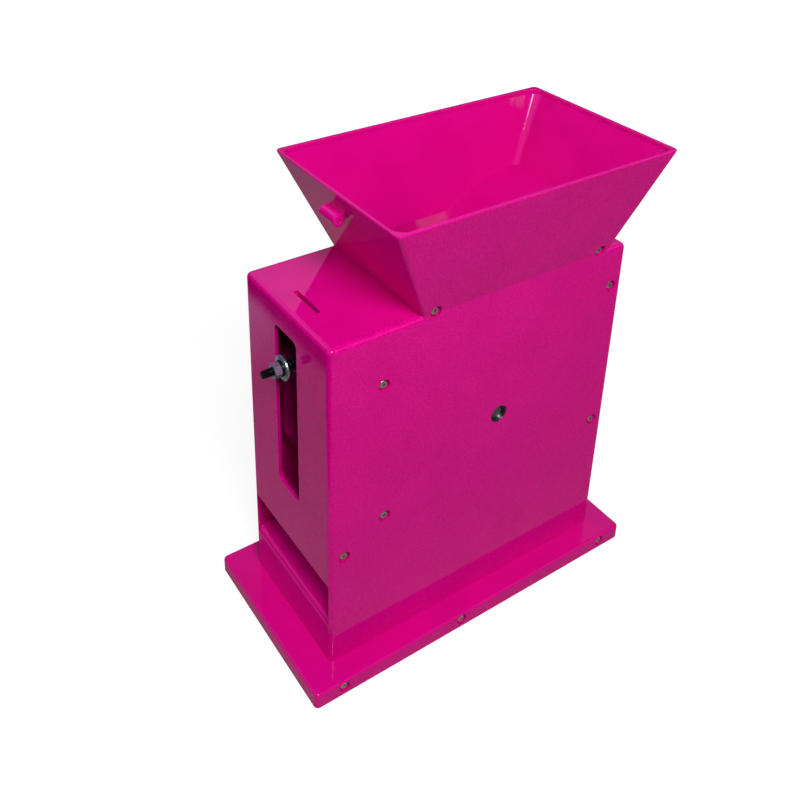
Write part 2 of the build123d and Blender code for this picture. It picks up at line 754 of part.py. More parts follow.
def two_arcs(start, start_way, end, end_way):
    """Two tangent arcs from one point and direction to another, in the open line."""
    chord = end - start
    along = chord.dot(start_way + end_way)
    spread = 2 * (1 - start_way.dot(end_way))
    reach = (math.sqrt(along * along + spread * chord.dot(chord)) - along) / spread
    first_corner = start + start_way * reach
    last_corner = end - end_way * reach
    middle = (first_corner + last_corner) / 2
    TangentArc(start, middle, tangent=start_way)
    TangentArc(middle, end, tangent=last_corner - first_corner)


with BuildPart() as pressure_spring:
    with BuildLine() as coil:
        Line(coil_point(0) - coil_way(0) * spring_wire, coil_point(0))
        for quarter in range(4 * spring_turns):
            begin = quarter / 4
            finish = begin + 1 / 4
            two_arcs(coil_point(begin), coil_way(begin), coil_point(finish), coil_way(finish))
        Line(coil_point(spring_turns), coil_point(spring_turns) + coil_way(spring_turns) * spring_wire)
    with BuildSketch(Plane(origin=coil.line @ 0, z_dir=coil.line % 0)):
        Circle(spring_wire / 2)
    sweep()
pressure_spring.part.label = "pressure_spring"
export_step(pressure_spring.part, "parts/pressure_spring.step")

steps_per_turn = 48
coil_points = [coil_point(step / steps_per_turn) for step in range(steps_per_turn * spring_turns + 1)]
least_distance = min(
    (later - earlier).length
    for place, earlier in enumerate(coil_points)
    for later in coil_points[place + steps_per_turn // 2:]
)
print("spring's least gap to itself", round(least_distance - spring_wire, 2), "mm")
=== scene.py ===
import json
import math

import bpy
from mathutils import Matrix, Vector


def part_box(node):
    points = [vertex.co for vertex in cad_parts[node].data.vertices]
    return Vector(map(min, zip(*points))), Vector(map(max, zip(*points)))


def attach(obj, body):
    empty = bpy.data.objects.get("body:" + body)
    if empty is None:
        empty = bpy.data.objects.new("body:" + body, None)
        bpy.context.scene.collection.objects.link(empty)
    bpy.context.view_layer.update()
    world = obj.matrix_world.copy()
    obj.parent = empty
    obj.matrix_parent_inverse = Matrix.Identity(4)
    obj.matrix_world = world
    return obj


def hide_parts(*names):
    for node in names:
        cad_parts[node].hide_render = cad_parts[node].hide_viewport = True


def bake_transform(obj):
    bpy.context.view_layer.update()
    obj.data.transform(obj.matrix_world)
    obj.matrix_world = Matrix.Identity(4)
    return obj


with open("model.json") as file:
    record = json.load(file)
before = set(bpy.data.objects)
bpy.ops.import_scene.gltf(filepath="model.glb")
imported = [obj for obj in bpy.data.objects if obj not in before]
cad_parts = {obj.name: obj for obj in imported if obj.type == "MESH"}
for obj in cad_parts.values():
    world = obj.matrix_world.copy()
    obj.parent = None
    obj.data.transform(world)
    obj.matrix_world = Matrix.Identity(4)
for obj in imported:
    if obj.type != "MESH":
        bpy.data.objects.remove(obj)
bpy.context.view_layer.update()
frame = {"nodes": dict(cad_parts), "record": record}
nodes = frame["nodes"]
mm = 0.001
print("frame loaded,", len(nodes), "nodes")


def linearColour(hexCode):
    # sRGB hex to the linear values that shaders take
    channels = [int(hexCode[i:i + 2], 16) / 255 for i in (1, 3, 5)]
    linear = [c / 12.92 if c <= 0.04045 else ((c + 0.055) / 1.055) ** 2.4 for c in channels]
    return (*linear, 1.0)


def addNode(material, kind, settings=None, inputs=None, links=None):
    # settings are the node's properties, inputs its socket values, links the sockets that feed it
    tree = material.node_tree
    node = tree.nodes.new(kind)
    for name, value in (settings or {}).items():
        setattr(node, name, value)
    for name, value in (inputs or {}).items():
        node.inputs[name].default_value = value
    for name, socket in (links or {}).items():
        tree.links.new(socket, node.inputs[name])
    return node


def startMaterial(name):
    material = bpy.data.materials.new(name)
    material.use_nodes = True
    shader = material.node_tree.nodes["Principled BSDF"]
    coordinates = addNode(material, "ShaderNodeTexCoord")
    return material, shader, coordinates.outputs["Object"]


def feed(material, shader, inputName, socket):
    material.node_tree.links.new(socket, shader.inputs[inputName])


# camera, fitted to the photo's straight edges
cameraFacts = {
    "place": (-382.1, -478.15, 644.04),  # mm
    "turn": (64.789, -0.760, -33.187),  # degrees
    "focalPixels": 974.55,
    "principalPixel": (366.18, 169.22),
    "frameSide": 800,
    "sensor": 36.0,
}
cameraData = bpy.data.cameras.new("benchCamera")
cameraData.sensor_width = cameraFacts["sensor"]
cameraData.sensor_fit = "HORIZONTAL"
cameraData.lens = cameraFacts["focalPixels"] * cameraFacts["sensor"] / cameraFacts["frameSide"]
cameraData.shift_x = 0.5 - cameraFacts["principalPixel"][0] / cameraFacts["frameSide"]
cameraData.shift_y = cameraFacts["principalPixel"][1] / cameraFacts["frameSide"] - 0.5
camera = bpy.data.objects.new("benchCamera", cameraData)
camera.location = Vector(cameraFacts["place"]) * mm
camera.rotation_euler = [math.radians(a) for a in cameraFacts["turn"]]
bpy.context.scene.collection.objects.link(camera)
bpy.context.scene.camera = camera
print("camera placed")


def hotPinkAbs():
    # injection-moulded ABS, dyed through: a saturated magenta that mirrors its surroundings sharply, with the slow
    # waves that moulded walls show in a reflection; the outer faces to the front and the exit end are finely grained,
    # and that grain is drawn coarser than a real one, which would be too fine to show
    look = {
        "deepColour": "#CA007A", "paleColour": "#EA0892", "blotchShare": 0.25,
        "roughness": 0.04, "ior": 1.53, "specular": 0.26,
        "grainMm": 1.3, "grainStrength": 0.04, "grainDepthMm": 0.05,
        "blotchMm": 38.0, "waveMm": 26.0, "waveStrength": 0.05, "waveDepthMm": 0.4,
        "grainedFrontMm": -50.0, "grainedEndMm": -126.5, "mouthTopMm": 86.5, "flangeTopMm": 15.5,
    }
    material, shader, place = startMaterial("hot pink ABS, gloss moulded")
    grain = addNode(material, "ShaderNodeTexNoise", inputs={
        "Scale": 1 / (look["grainMm"] * mm), "Detail": 1.0, "Roughness": 0.6}, links={"Vector": place})
    blotch = addNode(material, "ShaderNodeTexNoise", inputs={
        "Scale": 1 / (look["blotchMm"] * mm), "Detail": 2.0}, links={"Vector": place})
    axes = addNode(material, "ShaderNodeSeparateXYZ", links={"Vector": place})
    onFront = addNode(material, "ShaderNodeMath", {"operation": "LESS_THAN"}, {1: look["grainedFrontMm"] * mm},
                      {0: axes.outputs["Y"]})
    onEnd = addNode(material, "ShaderNodeMath", {"operation": "LESS_THAN"}, {1: look["grainedEndMm"] * mm},
                    {0: axes.outputs["X"]})
    aboveMouth = addNode(material, "ShaderNodeMath", {"operation": "GREATER_THAN"}, {1: look["mouthTopMm"] * mm},
                         {0: axes.outputs["Z"]})
    endGrain = addNode(material, "ShaderNodeMath", {"operation": "MULTIPLY"}, links={
        0: onEnd.outputs[0], 1: aboveMouth.outputs[0]})
    onWalls = addNode(material, "ShaderNodeMath", {"operation": "MAXIMUM"}, links={
        0: onFront.outputs[0], 1: endGrain.outputs[0]})
    aboveFlange = addNode(material, "ShaderNodeMath", {"operation": "GREATER_THAN"}, {1: look["flangeTopMm"] * mm},
                          {0: axes.outputs["Z"]})
    grained = addNode(material, "ShaderNodeMath", {"operation": "MULTIPLY"}, links={
        0: onWalls.outputs[0], 1: aboveFlange.outputs[0]})
    grainStep = addNode(material, "ShaderNodeMapRange", inputs={
        "From Min": 0.3, "From Max": 0.7, "To Min": -0.5, "To Max": 0.5}, links={"Value": grain.outputs["Fac"]})
    blotchStep = addNode(material, "ShaderNodeMapRange", inputs={
        "From Min": 0.3, "From Max": 0.7, "To Min": 0.5 - look["blotchShare"] / 2,
        "To Max": 0.5 + look["blotchShare"] / 2}, links={"Value": blotch.outputs["Fac"]})
    paleness = addNode(material, "ShaderNodeMath", {"operation": "MULTIPLY_ADD"}, links={
        0: grainStep.outputs["Result"], 1: grained.outputs[0], 2: blotchStep.outputs["Result"]})
    colour = addNode(material, "ShaderNodeMix", {"data_type": "RGBA"}, {
        6: linearColour(look["deepColour"]), 7: linearColour(look["paleColour"])}, {0: paleness.outputs[0]})
    feed(material, shader, "Base Color", colour.outputs[2])
    polish = addNode(material, "ShaderNodeMapRange", inputs={
        "From Min": 0.35, "From Max": 0.65, "To Min": look["roughness"] - 0.01,
        "To Max": look["roughness"] + 0.02}, links={"Value": blotch.outputs["Fac"]})
    feed(material, shader, "Roughness", polish.outputs["Result"])
    wave = addNode(material, "ShaderNodeTexNoise", inputs={
        "Scale": 1 / (look["waveMm"] * mm), "Detail": 1.0}, links={"Vector": place})
    waveBump = addNode(material, "ShaderNodeBump", inputs={
        "Strength": look["waveStrength"], "Distance": look["waveDepthMm"] * mm}, links={"Height": wave.outputs["Fac"]})
    grainBump = addNode(material, "ShaderNodeBump", inputs={
        "Strength": look["grainStrength"], "Distance": look["grainDepthMm"] * mm},
        links={"Height": grain.outputs["Fac"], "Normal": waveBump.outputs["Normal"]})
    feed(material, shader, "Normal", grainBump.outputs["Normal"])
    shader.inputs["IOR"].default_value = look["ior"]
    shader.inputs["Specular IOR Level"].default_value = look["specular"]
    return material


def zincPlate(name, colour, dullColour, roughness):
    # zinc over turned or stamped steel: silver, cloudy in patches
    look = {"colour": colour, "dullColour": dullColour, "metallic": 0.9, "roughness": roughness, "cloudMm": 2.4}
    material, shader, place = startMaterial(name)
    cloud = addNode(material, "ShaderNodeTexNoise", inputs={
        "Scale": 1 / (look["cloudMm"] * mm), "Detail": 3.0}, links={"Vector": place})
    clouded = addNode(material, "ShaderNodeMix", {"data_type": "RGBA"}, {
        6: linearColour(look["colour"]), 7: linearColour(look["dullColour"])}, {0: cloud.outputs["Fac"]})
    feed(material, shader, "Base Color", clouded.outputs[2])
    polish = addNode(material, "ShaderNodeMapRange", inputs={
        "To Min": look["roughness"] - 0.06, "To Max": look["roughness"] + 0.1},
        links={"Value": cloud.outputs["Fac"]})
    feed(material, shader, "Roughness", polish.outputs["Result"])
    shader.inputs["Metallic"].default_value = look["metallic"]
    return material


def blackOxide():
    # oiled black oxide on rolled thread: near black with grey where the crests have rubbed
    look = {"colour": "#131315", "rubbedColour": "#3A3A3D", "roughness": 0.3, "rubMm": 1.6}
    material, shader, place = startMaterial("steel, black oxide")
    rub = addNode(material, "ShaderNodeTexNoise", inputs={
        "Scale": 1 / (look["rubMm"] * mm), "Detail": 4.0}, links={"Vector": place})
    worn = addNode(material, "ShaderNodeMapRange", inputs={
        "From Min": 0.5, "From Max": 0.75}, links={"Value": rub.outputs["Fac"]})
    colour = addNode(material, "ShaderNodeMix", {"data_type": "RGBA"}, {
        6: linearColour(look["colour"]), 7: linearColour(look["rubbedColour"])}, {0: worn.outputs["Result"]})
    feed(material, shader, "Base Color", colour.outputs[2])
    polish = addNode(material, "ShaderNodeMapRange", inputs={
        "To Min": look["roughness"] - 0.06, "To Max": look["roughness"] + 0.15},
        links={"Value": rub.outputs["Fac"]})
    feed(material, shader, "Roughness", polish.outputs["Result"])
    shader.inputs["Metallic"].default_value = 0.6
    return material


def groundSteel():
    # bright bar and strip: fine grinding lines that run round the shaft and along the strip
    look = {"colour": "#9D9EA1", "lineColour": "#77787C", "roughness": 0.28, "lineMm": 0.5}
    material, shader, place = startMaterial("steel, ground bright")
    stretch = addNode(material, "ShaderNodeMapping", inputs={"Scale": (1.0, 1.0, 0.04)}, links={"Vector": place})
    lines = addNode(material, "ShaderNodeTexNoise", inputs={
        "Scale": 1 / (look["lineMm"] * mm), "Detail": 2.0}, links={"Vector": stretch.outputs["Vector"]})
    colour = addNode(material, "ShaderNodeMix", {"data_type": "RGBA"}, {
        6: linearColour(look["colour"]), 7: linearColour(look["lineColour"])}, {0: lines.outputs["Fac"]})
    feed(material, shader, "Base Color", colour.outputs[2])
    polish = addNode(material, "ShaderNodeMapRange", inputs={
        "To Min": look["roughness"] - 0.08, "To Max": look["roughness"] + 0.1},
        links={"Value": lines.outputs["Fac"]})
    feed(material, shader, "Roughness", polish.outputs["Result"])
    shader.inputs["Metallic"].default_value = 1.0
    return material


def oiledBearing():
    # sintered bearing metal: grey with dark oil in its pores, polished where it was turned
    look = {"colour": "#8B8A88", "oilColour": "#24221F", "roughness": 0.3, "poreMm": 0.35}
    material, shader, place = startMaterial("bearing metal, sintered and oiled")
    pores = addNode(material, "ShaderNodeTexVoronoi", inputs={
        "Scale": 1 / (look["poreMm"] * mm)}, links={"Vector": place})
    oil = addNode(material, "ShaderNodeMapRange", inputs={
        "From Min": 0.1, "From Max": 0.4, "To Min": 0.55, "To Max": 0.15},
        links={"Value": pores.outputs["Distance"]})
    colour = addNode(material, "ShaderNodeMix", {"data_type": "RGBA"}, {
        6: linearColour(look["colour"]), 7: linearColour(look["oilColour"])}, {0: oil.outputs["Result"]})
    feed(material, shader, "Base Color", colour.outputs[2])
    shader.inputs["Metallic"].default_value = 1.0
    shader.inputs["Roughness"].default_value = look["roughness"]
    return material


def darkNylon():
    # moulded nylon: charcoal, satin, with a fine even grain
    look = {"colour": "#2B2B2D", "paleColour": "#353538", "roughness": 0.45, "grainMm": 0.8}
    material, shader, place = startMaterial("charcoal nylon, moulded")
    grain = addNode(material, "ShaderNodeTexNoise", inputs={
        "Scale": 1 / (look["grainMm"] * mm), "Detail": 2.0}, links={"Vector": place})
    colour = addNode(material, "ShaderNodeMix", {"data_type": "RGBA"}, {
        6: linearColour(look["colour"]), 7: linearColour(look["paleColour"])}, {0: grain.outputs["Fac"]})
    feed(material, shader, "Base Color", colour.outputs[2])
    bump = addNode(material, "ShaderNodeBump", inputs={
        "Strength": 0.15, "Distance": 0.1 * mm}, links={"Height": grain.outputs["Fac"]})
    feed(material, shader, "Normal", bump.outputs["Normal"])
    shader.inputs["Roughness"].default_value = look["roughness"]
    return material


def gripRubber():
    # vulcanised rubber: matt black, dusty in its hollows, with a fine cast texture
    look = {"colour": "#1A1A1A", "dustColour": "#39362F", "roughness": 0.78, "grainMm": 0.6, "dustMm": 14.0}
    material, shader, place = startMaterial("black rubber, vulcanised")
    dust = addNode(material, "ShaderNodeTexNoise", inputs={
        "Scale": 1 / (look["dustMm"] * mm), "Detail": 5.0}, links={"Vector": place})
    dusty = addNode(material, "ShaderNodeMapRange", inputs={
        "From Min": 0.45, "From Max": 0.8}, links={"Value": dust.outputs["Fac"]})
    colour = addNode(material, "ShaderNodeMix", {"data_type": "RGBA"}, {
        6: linearColour(look["colour"]), 7: linearColour(look["dustColour"])}, {0: dusty.outputs["Result"]})
    feed(material, shader, "Base Color", colour.outputs[2])
    grain = addNode(material, "ShaderNodeTexNoise", inputs={
        "Scale": 1 / (look["grainMm"] * mm), "Detail": 2.0}, links={"Vector": place})
    bump = addNode(material, "ShaderNodeBump", inputs={
        "Strength": 0.3, "Distance": 0.15 * mm}, links={"Height": grain.outputs["Fac"]})
    feed(material, shader, "Normal", bump.outputs["Normal"])
    shader.inputs["Roughness"].default_value = look["roughness"]
    return material


finishes = {
    "housing_plastic": hotPinkAbs(), "black_steel": blackOxide(),
    "zinc_steel": zincPlate("steel, zinc plated and yellowed", "#EDE7CE", "#B4AE98", 0.16),
    "bright_steel": groundSteel(), "bush_metal": oiledBearing(), "drum_plastic": darkNylon(),
    "dark_rubber": gripRubber(),
}
brightZinc = zincPlate("steel, zinc plated and blue passivated", "#CFE2EA", "#A3B6C0", 0.24)
for subpart in frame["record"]["subparts"]:
    surface = nodes[subpart["node"]].data
    surface.materials.clear()
    surface.materials.append(finishes[subpart["material_slot"]])
print("materials on all nodes")


# Fasteners and spring are drawn in millimetres round the Z axis, then turned, scaled and moved to their place.
def pickOnly(*pieces):
    # the first one becomes active
    bpy.ops.object.select_all(action="DESELECT")
    for piece in pieces:
        piece.select_set(True)
    bpy.context.view_layer.objects.active = pieces[0]


def editAll(piece):
    pickOnly(piece)
    bpy.ops.object.mode_set(mode="EDIT")
    bpy.ops.mesh.select_mode(type="VERT")
    bpy.ops.mesh.select_all(action="SELECT")


def traceLine(name, points):
    # one vertex from a collapsed plane, drawn out from point to point
    bpy.ops.object.select_all(action="DESELECT")
    bpy.ops.mesh.primitive_plane_add(size=1.0, location=(0, 0, 0))
    piece = bpy.context.object
    piece.name = name
    editAll(piece)
    bpy.ops.mesh.merge(type="CENTER")
    bpy.ops.transform.translate(value=points[0])
    for before, after in zip(points, points[1:]):
        step = Vector(after) - Vector(before)
        bpy.ops.mesh.extrude_vertices_move(TRANSFORM_OT_translate={"value": step})
    bpy.ops.mesh.select_all(action="SELECT")
    return piece


def closeSkin():
    bpy.ops.mesh.select_all(action="SELECT")
    bpy.ops.mesh.remove_doubles(threshold=0.001)
    bpy.ops.mesh.fill_holes(sides=0)
    bpy.ops.mesh.select_all(action="SELECT")
    bpy.ops.mesh.normals_make_consistent(inside=False)
    bpy.ops.object.mode_set(mode="OBJECT")


def turnOnLathe(name, profile, steps=48, angle=360.0):
    # profile is a row of (radius, height)
    piece = traceLine(name, [(radius, 0, height) for radius, height in profile])
    bpy.ops.mesh.spin(steps=steps, angle=math.radians(angle), center=(0, 0, 0), axis=(0, 0, 1))
    closeSkin()
    return piece


def applyModifier(piece, kind, **settings):
    modifier = piece.modifiers.new("shape", kind)
    for name, value in settings.items():
        setattr(modifier, name, value)
    pickOnly(piece)
    bpy.ops.object.modifier_apply(modifier=modifier.name)


def carve(piece, tool, operation):
    applyModifier(piece, "BOOLEAN", object=tool, operation=operation, solver="EXACT")
    bpy.data.objects.remove(tool, do_unlink=True)


def rollThread(name, root, crest, pitch, bottom, top, steps=32):
    # one pitch of the thread's flank, in shares of the pitch, wound up the rod
    flank = [(root, 0), (crest, 0.38 * pitch), (crest, 0.52 * pitch), (root, 0.9 * pitch), (root, pitch)]
    piece = traceLine(name, [(radius, 0, bottom + height) for radius, height in flank])
    bpy.ops.object.mode_set(mode="OBJECT")
    turns = math.ceil((top - bottom) / pitch)
    applyModifier(piece, "SCREW", axis="Z", angle=2 * math.pi, screw_offset=pitch, iterations=turns,
                  steps=steps, render_steps=steps, use_merge_vertices=False)
    editAll(piece)
    closeSkin()
    return piece


def crossDriver(name, span, width, top, depth):
    # driver tip that leaves the cross recess: two bars, narrower at the bottom
    bars = []
    for turn in (0, 90):
        bpy.ops.object.select_all(action="DESELECT")
        bpy.ops.mesh.primitive_cube_add(size=1.0, location=(0, 0, 0))
        bar = bpy.context.object
        bar.name = name
        editAll(bar)
        bpy.ops.transform.resize(value=(span, width, 2 * depth))
        bpy.ops.transform.translate(value=(0, 0, top))
        bpy.ops.mesh.select_all(action="DESELECT")
        bpy.ops.object.mode_set(mode="OBJECT")
        for vertex in bar.data.vertices:
            vertex.select = vertex.co.z < top
        bpy.ops.object.mode_set(mode="EDIT")
        bpy.ops.transform.resize(value=(0.5, 0.75, 1.0), center_override=(0, 0, top - depth))
        bpy.ops.mesh.select_all(action="SELECT")
        bpy.ops.transform.rotate(value=math.radians(turn), orient_axis="Z", center_override=(0, 0, 0))
        bpy.ops.object.mode_set(mode="OBJECT")
        bars.append(bar)
    carve(bars[0], bars[1], "UNION")
    return bars[0]


def panScrew(name, sizes):
    # head with a steep rim and a domed top above the seat at height 0, threaded and tapered shank below it
    head, rise = sizes["headRadius"], sizes["headHeight"]
    shank, length = sizes["shankRadius"], sizes["length"]
    dome = [(head * math.cos(math.radians(a)) ** 0.45, rise * (0.42 + 0.58 * math.sin(math.radians(a)) ** 0.9))
            for a in range(0, 90, 10)]
    screw = turnOnLathe(name, [(0, 0), (head - 0.12, 0), (head, 0.12), *dome, (0, rise)])
    carve(screw, crossDriver("driverTip", 1.15 * head, 0.3 * head, rise, 0.62 * rise), "DIFFERENCE")
    thread = rollThread("shankThread", 0.78 * shank, shank, sizes["pitch"], -length - sizes["pitch"], 0.6)
    taper = turnOnLathe("shankTaper", [
        (0, -length), (0.35 * shank, -length), (shank + 0.02, -length + 1.6 * shank), (shank + 0.02, 0.2), (0, 0.2)])
    carve(thread, taper, "INTERSECT")
    carve(screw, thread, "UNION")
    applyModifier(screw, "BEVEL", width=0.06, segments=2, limit_method="ANGLE", angle_limit=math.radians(40))
    return screw


def settle(piece, turn, place):
    # from millimetres round the Z axis to metres at its place, with the object left at the origin
    pickOnly(piece)
    piece.rotation_euler = [math.radians(a) for a in turn]
    piece.scale = (mm, mm, mm)
    piece.location = Vector(place) * mm
    bpy.ops.object.transform_apply(location=True, rotation=True, scale=True)


def dressPiece(piece, node, body, slot, smoothAngle=35, finish=None):
    # a piece given no body is left unattached
    pickOnly(piece)
    bpy.ops.object.shade_smooth_by_angle(angle=math.radians(smoothAngle))
    piece.data.materials.clear()
    piece.data.materials.append(finish or finishes[slot])
    if body:
        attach(piece, body)
    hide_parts(node)


def setScrews(name, node, body, sizes, turn, places):
    # one screw is modelled, copied to each place and joined into the node's set
    pattern = panScrew(name, sizes)
    copies = []
    for place in places:
        pickOnly(pattern)
        bpy.ops.object.duplicate(linked=False)
        copy = bpy.context.object
        settle(copy, turn, place)
        copies.append(copy)
    bpy.data.objects.remove(pattern, do_unlink=True)
    pickOnly(*copies)
    bpy.ops.object.join()
    copies[0].name = name
    dressPiece(copies[0], node, body, "zinc_steel")
    print(name, "set,", len(places), "screws")


# self-tapping screws that hold the two halves together, sunk in the front face and in the flange's edge
caseScrew = {"headRadius": 3.3, "headHeight": 2.6, "shankRadius": 1.75, "length": 71.6, "pitch": 1.4, "seatY": -53.6}
facePlaces = [(-86.0, 246.0), (-82.9, 131.7), (-116.3, 111.2), (-46.5, 289.5),
              (102.6, 289.7), (119.5, 254.1), (118.8, 128.2)]
setScrews("caseScrews", "housing_screws", "housing", caseScrew, (90, 0, 0),
          [(x, caseScrew["seatY"], z) for x, z in facePlaces])
flangeScrew = dict(caseScrew, length=90.1, seatY=-72.1)
flangePlaces = [(-127.0, 7.0), (-20.0, 7.0), (128.0, 7.0)]
setScrews("flangeScrews", "base_screws", "housing", flangeScrew, (90, 0, 0),
          [(x, flangeScrew["seatY"], z) for x, z in flangePlaces])

# small screws through the lugs beside the hopper, from the rear
lugScrew = {"headRadius": 2.3, "headHeight": 1.8, "shankRadius": 1.2, "length": 14.5, "pitch": 0.9, "seatY": 6.5}
lugLow, lugHigh = [[c / mm for c in corner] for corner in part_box("hopper_screws")]
inset = lugScrew["headRadius"]
setScrews("lugScrews", "hopper_screws", "housing", lugScrew, (-90, 0, 0), [
    (lugLow[0] + inset, lugScrew["seatY"], lugHigh[2] - inset),
    (lugHigh[0] - inset, lugScrew["seatY"], lugLow[2] + inset)])

# screws through the lever into the shoe
shoeScrew = {"headRadius": 3.9, "headHeight": 2.6, "shankRadius": 2.0, "length": 15.0, "pitch": 1.4, "seatX": -112.0}
setScrews("shoeScrews", "lever_screws", "lever", shoeScrew, (0, -90, 0),
          [(shoeScrew["seatX"], 0, z) for z in (163.0, 214.0)])

# adjuster: all on one axis along X, drawn with the bolt's tip upwards
adjuster = {
    "axisHeight": 242.0, "tipX": -146.5, "headX": -97.0, "radius": 3.0, "rootRadius": 2.45, "pitch": 1.0,
    "threadEndX": -113.0,
    "acrossFlats": 10.0, "headHeight": 4.0, "nutX": -138.3, "nutHeight": 5.2, "bore": 3.05,
    "lockX": -133.05, "lockHeight": 1.6, "lockRadius": 5.9, "lockGap": 12.0,
    "washerX": -131.4, "washerHeight": 1.6, "washerRadius": 9.2, "washerBore": 3.2,
    "coilRadius": 4.6, "wire": 1.8, "coilStartX": -128.65, "coilEndX": -113.15, "closedTurns": 1, "openTurns": 4,
}
adjusterTurn = (0, -90, 0)  # Z upwards goes to -X
hexRadius = adjuster["acrossFlats"] / math.sqrt(3)


def hexBlock(name, bottom, top):
    # six-sided bar with its corners turned down at both ends
    bpy.ops.object.select_all(action="DESELECT")
    bpy.ops.mesh.primitive_cylinder_add(vertices=6, radius=hexRadius, depth=top - bottom,
                                        location=(0, 0, (top + bottom) / 2))
    block = bpy.context.object
    block.name = name
    bpy.ops.object.transform_apply(location=True, rotation=True, scale=True)
    flat = adjuster["acrossFlats"] / 2
    turned = turnOnLathe("cornerTurning", [
        (0, bottom), (flat - 0.05, bottom), (hexRadius + 0.1, bottom + 0.6), (hexRadius + 0.1, top - 0.6),
        (flat - 0.05, top), (0, top)], steps=72)
    carve(block, turned, "INTERSECT")
    return block


shankLength = adjuster["headX"] - adjuster["tipX"]
threadStart = adjuster["headX"] - adjuster["threadEndX"]
bolt = rollThread("studThread", adjuster["rootRadius"], adjuster["radius"], adjuster["pitch"],
                  threadStart, shankLength + 1.5)
studForm = turnOnLathe("studForm", [
    (0, 0), (3.2, 0), (3.2, shankLength - 0.9), (2.2, shankLength), (0, shankLength)])
carve(bolt, studForm, "INTERSECT")
plainShank = turnOnLathe("plainShank", [
    (0, -0.5), (2.95, -0.5), (2.95, threadStart + 1.2), (2.5, threadStart + 1.7), (0, threadStart + 1.7)])
carve(bolt, plainShank, "UNION")
carve(bolt, hexBlock("boltHead", -adjuster["headHeight"], 0.0), "UNION")
settle(bolt, adjusterTurn, (adjuster["headX"], 0, adjuster["axisHeight"]))
bolt.name = "adjustingStud"
dressPiece(bolt, "adjusting_bolt", "housing", "black_steel", 30)

nut = hexBlock("thumbNut", -adjuster["nutHeight"], 0.0)
bore, high, chamfer, past = adjuster["bore"], adjuster["nutHeight"], 0.5, 0.8  # past: how far the tool runs out
boreForm = turnOnLathe("nutBore", [
    (0, -high - past), (bore + chamfer + past, -high - past), (bore + chamfer, -high), (bore, chamfer - high),
    (bore, -chamfer), (bore + chamfer, 0.0), (bore + chamfer + past, past), (0, past)])
carve(nut, boreForm, "DIFFERENCE")
applyModifier(nut, "BEVEL", width=0.12, segments=2, limit_method="ANGLE", angle_limit=math.radians(25))
settle(nut, adjusterTurn, (adjuster["nutX"], 0, adjuster["axisHeight"]))
nut.name = "adjustingNut"
dressPiece(nut, "adjusting_nut", "nut", "zinc_steel", 25, brightZinc)

broad, hole, thick = adjuster["washerRadius"], adjuster["washerBore"], adjuster["washerHeight"]
washer = turnOnLathe("broadWasher", [
    (hole, -0.15), (hole + 0.15, 0), (broad - 0.55, 0), (broad - 0.3, -0.06), (broad - 0.1, -0.2),
    (broad, -0.5), (broad, 0.15 - thick), (broad - 0.15, -thick), (hole + 0.15, -thick), (hole, 0.15 - thick),
    (hole, -0.15)], steps=72)
settle(washer, adjusterTurn, (adjuster["washerX"], 0, adjuster["axisHeight"]))
dressPiece(washer, "spring_washer", "washer", "zinc_steel", finish=brightZinc)

ring, thick = adjuster["lockRadius"], adjuster["lockHeight"]
lock = turnOnLathe("lockWasher", [
    (hole, -0.12), (hole + 0.12, 0), (ring - 0.2, 0), (ring, -0.2), (ring, 0.2 - thick), (ring - 0.2, -thick),
    (hole + 0.12, -thick), (hole, 0.12 - thick), (hole, -0.12)], steps=60, angle=360 - adjuster["lockGap"])
settle(lock, adjusterTurn, (adjuster["lockX"], 0, adjuster["axisHeight"]))
dressPiece(lock, "lock_washer", "washer", "black_steel")
print("adjuster turned")


def windCoil(name, bottom, runs):
    # wire section wound upwards in runs of so many turns at a pitch
    wire, radius = adjuster["wire"], adjuster["coilRadius"]
    pieces = []
    for turns, pitch in runs:
        section = [(radius + wire / 2 * math.cos(math.radians(a)), 0, bottom + wire / 2 * math.sin(math.radians(a)))
                   for a in range(0, 361, 24)]
        piece = traceLine(name, section)
        bpy.ops.mesh.remove_doubles(threshold=0.001)
        bpy.ops.object.mode_set(mode="OBJECT")
        applyModifier(piece, "SCREW", axis="Z", angle=2 * math.pi, screw_offset=pitch, iterations=turns,
                      steps=48, render_steps=48, use_merge_vertices=False)
        pieces.append(piece)
        bottom += turns * pitch
    pickOnly(*pieces)
    bpy.ops.object.join()
    editAll(pieces[0])
    closeSkin()
    settle(pieces[0], adjusterTurn, (adjuster["coilEndX"], 0, adjuster["axisHeight"]))
    dressPiece(pieces[0], "pressure_spring", None, "black_steel", 60)
    return pieces[0]


# spring with a closed turn at each end, wound in two halves: the inner one next to the lever and the outer one next to
# the washer
coilLength = adjuster["coilEndX"] - adjuster["coilStartX"]
closedRun = (adjuster["closedTurns"], 1.06 * adjuster["wire"])
openTurns = adjuster["openTurns"] // 2
openRun = (openTurns, coilLength / 2 / openTurns - closedRun[0] * closedRun[1] / openTurns)
innerCoil = windCoil("pressureSpringInner", 0.0, (closedRun, openRun))
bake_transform(innerCoil)
outerCoil = windCoil("pressureSpringOuter", coilLength / 2, (openRun, closedRun))
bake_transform(outerCoil)
print("spring wound")

